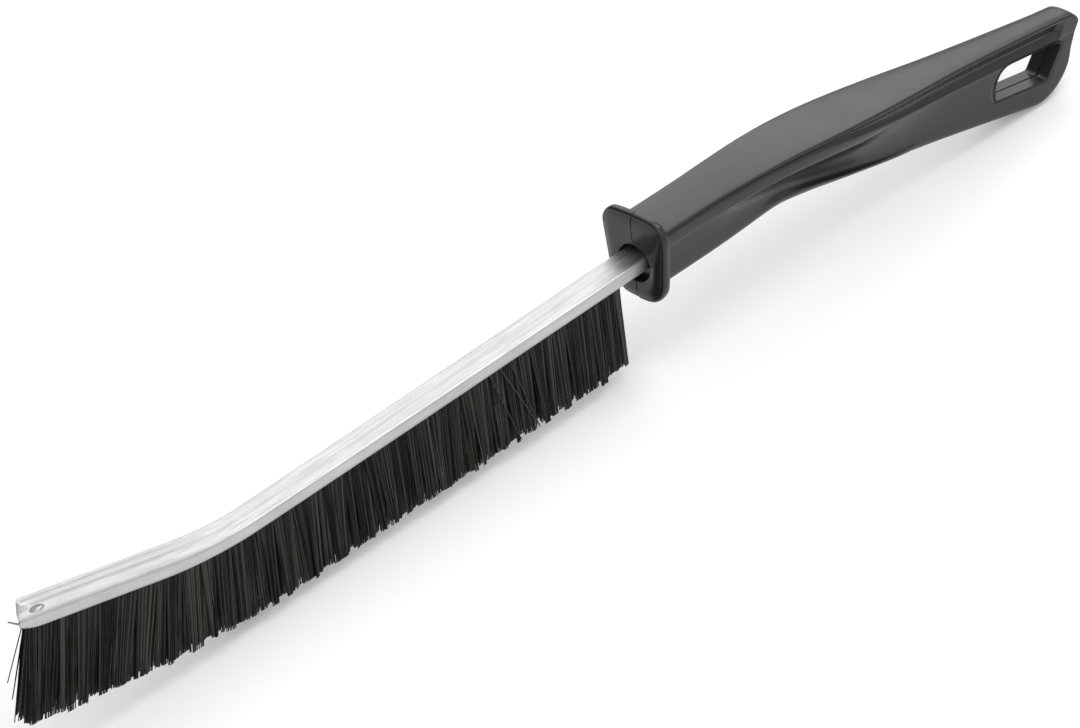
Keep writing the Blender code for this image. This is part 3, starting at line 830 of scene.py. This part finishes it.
def guard_rows(proud):
    rows = [mouth_row(mouth_depth, mouth_radius)]
    for angle in quarter_turn(5):
        rows.append(
            mouth_row(mouth_chamfer * (1 - math.sin(angle)), mouth_radius + mouth_chamfer * (1 - math.cos(angle)))
        )
    face = [guard_row(depth * mm, inset * mm, (1, 0), proud) for depth, inset in face_profile]
    for step in range(1, face_steps):
        row = [near.lerp(far, step / face_steps) for near, far in zip(rows[6], face[0])]
        for i in (0, -1):
            row[i].x = face[0][i].x
        rows.append(row)
    rows += face
    front = face_profile[-1][0] * mm
    for angle in quarter_turn(8):
        x = front + front_edge_radius * (1 - math.cos(angle))
        inset = front_edge_radius * (1 - math.sin(angle))
        rows.append(guard_row(x, inset, (math.cos(angle), math.sin(angle)), proud))
    for step, angle in enumerate(quarter_turn(8)):
        x = guard_thickness - back_edge_radius * (1 - math.sin(angle))
        inset = back_edge_radius * (1 - math.cos(angle))
        rows.append(guard_row(x, inset, (-math.sin(angle), math.cos(angle)), proud if step < 8 else 0))
    return rows


def grip_rows():
    rear = guard_thickness
    rows = []
    for angle in quarter_turn(5):
        x = rear + back_fillet * (1 - math.cos(angle))
        rows.append([Vector((x, point.y, point.z)) for point in grip_row(x, back_fillet * (1 - math.sin(angle)))])
    first, last = rear + back_fillet, handle_length - end_round_bottom
    count = math.ceil((last - first) / grip_row_step)
    rows += [grip_row(first + (last - first) * step / count) for step in range(1, count + 1)]
    for step in range(1, end_rows + 1):
        advance = end_round_bottom * math.sin(math.pi / 2 * step / end_rows)
        cuts = [corner_cut(advance, radius) for radius in (end_round_top, end_round_bottom, end_round_side)]
        rows.append(grip_row(last, 0, cuts, advance))
    return rows


def half_rows(side):
    """All rows of one half, whose first and last are drawn together on the middle plane."""
    rows = guard_rows(seam_step if side < 0 else 0) + grip_rows()
    rows.insert(0, [Vector((point.x, 0, point.z)) for point in rows[0]])
    for share in (0.6, 0.2, 0):
        rows.append([Vector((point.x, point.y * share, point.z)) for point in rows[-1]])
    return [[Vector((point.x, side * max(point.y, seam_half), point.z)) for point in row] for row in rows]


print("rows from the mouth to the end:", len(half_rows(1)))

# %% [markdown]
# The hang hole is cut through both halves by a Boolean. Its cutter has rounded rims on
# the outside, and its right part is a little larger than its left part, as the two cores
# of a mould never meet exactly: inside the hole this leaves a thin ledge at the seam.

# %% Make the cutters
hole_corners = [
    (x * mm, z * mm) for x, z in ((122.0, -10.6), (146.1, -14.1), (139.6, -22.0), (121.7, -18.7))
]
hole_corner_radii = (5.6 * mm, 0.9 * mm, 1.4 * mm, 0.5 * mm)
hole_rim = 0.45 * mm
hole_ledge = 0.35 * mm
overrun = 1.0 * mm
fit_gap = 0.3 * mm


def hole_outline(grow):
    """The hang hole in side view, grown outwards by this much."""
    corners = [Vector(corner) for corner in hole_corners]
    middle = sum(corners, Vector((0, 0))) / len(corners)
    loop = []
    for i, corner in enumerate(corners):
        after = corners[(i + 1) % len(corners)]
        loop += corner_arc(corners[i - 1], corner, after, hole_corner_radii[i])
    loop = [point + (point - middle).normalized() * grow for point in loop]
    return [*loop, loop[0]]


def hole_cutter():
    profile = []
    for side in (-1, 1):
        ledge = 0 if side < 0 else -hole_ledge
        rim = []
        for step in range(7):
            angle = math.radians(12 + 78 * step / 6)
            depth = hole_rim * (1 - math.cos(math.pi / 2 - angle))
            rim.append((plate_half_width - depth, hole_rim * (1 - math.sin(angle)) + ledge))
        rim.insert(0, (plate_half_width + overrun, rim[0][1] + 4 * overrun))
        rim.append((0, ledge))
        profile += [(side * y, grow) for y, grow in (rim if side < 0 else reversed(rim))]
    rows = [[Vector((x, y, z)) for x, z in hole_outline(grow)] for y, grow in profile]
    cutter = formed_grid("hole_cutter", rows)
    close_up(cutter)
    return cutter


def slot_cutter():
    """A block as large as the channel's tang with its clearance."""
    deselect()
    bpy.ops.mesh.primitive_cube_add(size=1)
    block = bpy.context.object
    block.name = "slot_cutter"
    length = tang_length + overrun + fit_gap
    wide, high = channel_width + 2 * fit_gap, channel_height + 2 * fit_gap
    middle = Vector((length / 2 - overrun, 0, 0))
    for point in block.data.vertices:
        point.co = origin + middle + Vector((point.co.x * length, point.co.y * wide, point.co.z * high))
    return block


cutters = [slot_cutter(), hole_cutter()]
print("cutters:", [cutter.name for cutter in cutters])

# %% Form the two halves of the handle
def make_half(name, side, node):
    half = formed_grid(name, half_rows(side))
    close_up(half)
    for cutter in cutters:
        apply_modifier(half, "BOOLEAN", operation="DIFFERENCE", object=cutter, solver="EXACT")
    smooth(half, 32)
    finish_piece(half, plastic, "black_plastic", node)
    return half


make_half("handle_left_skin", 1, "handle_left")
make_half("handle_right_skin", -1, "handle_right")
for cutter in cutters:
    bpy.data.objects.remove(cutter)

# %% [markdown]
# A brush looks like a brush only when its filaments are separate. One filament is
# modelled: a five-sided rod, cut across in three places so that it can bend. It is then
# copied thousands of times in code. Each copy starts in the channel and ends where its
# row, its place along the brush and a little chance put it. The tips lean together in
# small clumps, and here and there one is longer or shorter. A small table places the few
# that stray at the tip and cross the others in the middle.

# %% Model one filament
filament_radius = 0.19 * mm
filament_sides = 5
filament_cuts = 3


def one_filament():
    """Points as (share of the length, offset across), and faces, of one rod that points down."""
    deselect()
    bpy.ops.mesh.primitive_cylinder_add(
        vertices=filament_sides, radius=filament_radius, depth=1, end_fill_type="NGON", location=(0, 0, 0)
    )
    rod = bpy.context.object
    bpy.ops.object.mode_set(mode="EDIT")
    bpy.ops.mesh.select_all(action="DESELECT")
    bpy.ops.object.mode_set(mode="OBJECT")
    for edge in rod.data.edges:
        near, far = (rod.data.vertices[i].co for i in edge.vertices)
        edge.select = abs(near.z - far.z) > 0.5
    bpy.ops.object.mode_set(mode="EDIT")
    bpy.ops.mesh.select_mode(type="EDGE")
    bpy.ops.mesh.subdivide(number_cuts=filament_cuts)
    bpy.ops.object.mode_set(mode="OBJECT")
    points = [(0.5 - point.co.z, point.co.x, point.co.y) for point in rod.data.vertices]
    faces = [tuple(face.vertices) for face in rod.data.polygons]
    bpy.data.objects.remove(rod)
    return np.array(points), faces


rod_points, rod_faces = one_filament()
print("one filament:", len(rod_points), "points,", len(rod_faces), "faces")

# %% Where a filament starts and ends
slice_count = 8
pack_start = 6.8 * mm
pack_stop = 3.0 * mm
pack_half_width = 2.75 * mm
pack_inner = 0.25 * mm
filament_pitch = 0.4 * mm
rows_per_leg = 7
bristle_length = 22.5 * mm
tip_bristle_extra = 3.0 * mm
bend_trim = 1.2 * mm
bend_trim_length = 10 * mm
bristle_flare = 1.1 * mm
bristle_sway = 0.3 * mm
sway_length = 11 * mm
tip_fan = -1.4 * mm
tip_fan_length = 26 * mm
end_calm_length = 9 * mm
bunch_widths = (1.2 * mm, 5.0 * mm)
bunch_lean = 0.75 * mm
bunch_cut = 0.28 * mm
bunch_pinch = 0.3
end_rounding = 1.9 * mm
foot_rise = (lip_height - channel_height) / 2
root_rise = 0.4 * mm
# Strays, in millimetres: start, side, lean, the end's side and drop, and then the tone
strays = (
    (207.9, 2.2, 4.8, 2.2, 15.9, 0.3),
    (207.9, 1.4, 2.8, 1.4, 19.8, 0.3),
    (207.9, 1.9, 2.7, 1.9, 20.5, 0.3),
    (207.9, 2.6, 0.8, 2.6, 27.3, 0.3),
    (50.6, -2.9, -10.2, -4.6, 21.9, 0.8),
    (47.0, -2.9, -6.6, -4.5, 21.8, 0.7),
    (54.0, -2.9, -7.2, -4.4, 22.0, 0.66),
)


def filament_end(along, side, row_share):
    """Where a filament that starts here ends: its reach, its side and its length."""
    to_tip = channel_reach - along
    fan = max(1 - to_tip / tip_fan_length, 0) ** 2
    phase = 2 * math.pi * along / sway_length
    sway = bristle_sway * (math.sin(phase) + math.sin(phase * 0.37 + row_share * math.pi))
    bend_middle = bend_start + bend_radius * tip_rise / 2
    extra = tip_bristle_extra * max((along - bend_middle) / (channel_reach - bend_middle), 0)
    dip = bend_trim * math.exp(-(((along - bend_middle) / bend_trim_length) ** 2))
    calm = 0.25 + 0.75 * eased((along - pack_start) / end_calm_length)
    flare = side + math.copysign(bristle_flare * row_share * calm, side)
    return along + sway * calm + tip_fan * fan, flare, bristle_length + extra - dip


def make_bunches(dice):
    """Along one row, how far each bunch reaches, and how it leans, is cut and shines."""
    bunches, reach = [], 0
    while reach < channel_reach:
        width = dice.uniform(*bunch_widths)
        reach += width
        lean = (dice.gauss(0, bunch_lean), dice.gauss(0, bunch_lean / 2))
        bunches.append((reach, reach - width / 2, lean, dice.gauss(0, bunch_cut), dice.random()))
    return bunches


bunch_rows = {}
for row in range(rows_per_leg):
    for hand in (-1, 1):
        bunch_rows[row, hand] = make_bunches(random.Random(10 * row + hand))


def slice_filaments(index, dice):
    """The start, end, bow and tone of every filament of one slice."""
    usable = channel_reach - pack_stop - pack_start
    start, length = pack_start + usable * index / slice_count, usable / slice_count
    columns = round(length / filament_pitch)
    leg = pack_half_width - pack_inner
    for column in range(columns):
        for row in range(rows_per_leg):
            for hand in (-1, 1):
                stagger = 0.5 * (row % 2)
                along = start + length * (column + 0.25 + stagger) / columns + dice.gauss(0, 0.04 * mm)
                outward = (row + 0.5) / rows_per_leg
                along += end_rounding * outward**2 * math.exp(-(along - pack_start) / end_rounding)
                side = hand * (pack_inner + leg * (row + 0.5) / rows_per_leg)
                reach, flare, long = filament_end(along, side, outward)
                bunch = next(item for item in bunch_rows[(row, hand)] if along < item[0] or item[0] > channel_reach)
                calm = eased((along - pack_start) / end_calm_length)
                reach += calm * (bunch[2][0] + bunch_pinch * (bunch[1] - along)) + dice.gauss(0, 0.07 * mm)
                flare += bunch[2][1] + dice.gauss(0, 0.06 * mm)
                long += bunch[3] + dice.gauss(0, 0.06 * mm) - (dice.random() < 0.03) * dice.uniform(0.5, 2.0) * mm
                bow = dice.gauss(0, 0.12 * mm)
                root, foot = (strip_place(along, side, rise) for rise in (root_rise, foot_rise))
                tip = strip_place(reach, flare, foot_rise - long)
                yield root, foot, tip, bow, 0.3 * bunch[4] + 0.7 * dice.random()
    for along, side, lean, end_side, drop, tone in strays:
        if start <= along * mm < start + length:
            tip = strip_place((along + lean) * mm, end_side * mm, foot_rise - drop * mm)
            foot = strip_place(along * mm, side * mm, foot_rise)
            yield strip_place(along * mm, side * mm, root_rise), foot, tip, 0, tone


print("filaments in a slice:", sum(1 for item in slice_filaments(0, random.Random(0))))

# %% Copy the filaments into eight slices
root_share = 0.25


def rod_along(root, foot, tip, bow):
    """The one filament, carried to the line from root by foot to tip."""
    placed = np.empty_like(rod_points)
    for share in sorted({round(value, 4) for value in rod_points[:, 0]}):
        if share <= root_share:
            centre = root + (foot - root) * (share / root_share)
            bend = 0
        else:
            t = (share - root_share) / (1 - root_share)
            centre = foot + (tip - foot) * t
            bend = bow * math.sin(math.pi * t * 0.8)
        taper = 1 - 0.25 * share
        picked = np.isclose(rod_points[:, 0], share, atol=1e-3)
        placed[picked, 0] = centre.x + bend + rod_points[picked, 1] * taper
        placed[picked, 1] = centre.y + bend * 0.5 + rod_points[picked, 2] * taper
        placed[picked, 2] = centre.z
    return placed


def make_slice(index):
    dice = random.Random(100 + index)
    points, faces, tones = [], [], []
    for root, foot, tip, bow, tone in slice_filaments(index, dice):
        first = len(points) * len(rod_points)
        points.append(rod_along(origin + root, origin + foot, origin + tip, bow))
        faces += [tuple(first + i for i in face) for face in rod_faces]
        tones += [tone] * len(rod_points)
    mesh = bpy.data.meshes.new(f"filaments_{index + 1}")
    mesh.from_pydata(np.concatenate(points).tolist(), [], faces)
    tone_layer = mesh.attributes.new("tone", "FLOAT", "POINT")
    tone_layer.data.foreach_set("value", tones)
    mesh.shade_smooth()
    obj = bpy.data.objects.new(mesh.name, mesh)
    bpy.context.scene.collection.objects.link(obj)
    finish_piece(obj, nylon, "black_filament", f"bristles_{index + 1}")
    return obj


for index in range(slice_count):
    make_slice(index)

# %% [markdown]
# The stage is a plain pale floor. It must look white without more light than the brush
# needs, so the white comes from its colour: for what the camera, a reflection or clear
# plastic sees, some of the floor shines by itself, and the rest is lit and keeps the
# shadow of the brush.

# %% Lay the floor
floor_size = 6.0
floor_glow = 0.16
floor_colour = (0.86, 0.86, 0.86)


def make_floor():
    deselect()
    bpy.ops.mesh.primitive_plane_add(size=floor_size, location=(0, 0, 0))
    floor = bpy.context.object
    floor.name = "floor"
    paint, tree, shader = new_finish("floor_white", 0.9, specular=0.0)
    shader.inputs["Emission Color"].default_value = (1, 1, 1, 1)
    shader.inputs["Base Color"].default_value = (*floor_colour, 1)
    path = add_node(tree, "ShaderNodeLightPath")
    seen = path.outputs["Is Camera Ray"]
    for kind in ("Is Glossy Ray", "Is Transmission Ray"):
        seen = combined(tree, "MAXIMUM", seen, path.outputs[kind])
    tree.links.new(ranged(tree, seen, 0, 1, 0, floor_glow), shader.inputs["Emission Strength"])
    floor.data.materials.append(paint)
    return floor


floor = make_floor()
print("floor:", floor_size, "m")

# %% [markdown]
# The light is that of a plain product studio: a soft white room, darker at the back left,
# with one softbox above and one to the left. The largest stands behind and to the right,
# where the tops of the handle and the channel mirror it to the camera as a broad sheen.

# %% Set the lights
# How bright the room is, where a strength of 1 is white
wall_level = 0.28
ceiling_level = 1.1
front_level = 0.38
back_left_share = 0.25


def add_softbox(name, place, size, power):
    lamp = bpy.data.lights.new(name, "AREA")
    lamp.shape = "SQUARE"
    lamp.size = size
    lamp.energy = power
    box = bpy.data.objects.new(name, lamp)
    bpy.context.scene.collection.objects.link(box)
    box.location = place
    box.rotation_euler = (-Vector(place)).to_track_quat("-Z", "Y").to_euler()
    return box


add_softbox("softbox_above", (0.7, -0.2, 1.4), 0.7, 4.6)
add_softbox("softbox_left", (-1.5, -0.8, 1.05), 0.5, 4.0)
add_softbox("softbox_behind", (1.17, 1.13, 0.98), 1.2, 5.9)

room = bpy.data.worlds.new("room")
room.use_nodes = True
room_tree = room.node_tree
room_light = room_tree.nodes["Background"]
room_light.inputs["Color"].default_value = (1, 1, 1, 1)
direction = add_node(room_tree, "ShaderNodeTexCoord")
towards = add_node(room_tree, "ShaderNodeSeparateXYZ")
room_tree.links.new(direction.outputs["Generated"], towards.inputs["Vector"])
from_wall_to_ceiling = ranged(room_tree, towards.outputs["Z"], 0, 1, wall_level, ceiling_level)
from_the_front = ranged(room_tree, towards.outputs["Y"], -0.9, -0.1, front_level, 0)
brightness = combined(room_tree, "ADD", from_wall_to_ceiling, from_the_front)
back_left = combined(room_tree, "SUBTRACT", towards.outputs["Y"], towards.outputs["X"])
shade = ranged(room_tree, back_left, 0.7, 1.15, 1, back_left_share)
room_tree.links.new(combined(room_tree, "MULTIPLY", brightness, shade), room_light.inputs["Strength"])
bpy.context.scene.world = room
bpy.context.scene.view_settings.view_transform = "Standard"
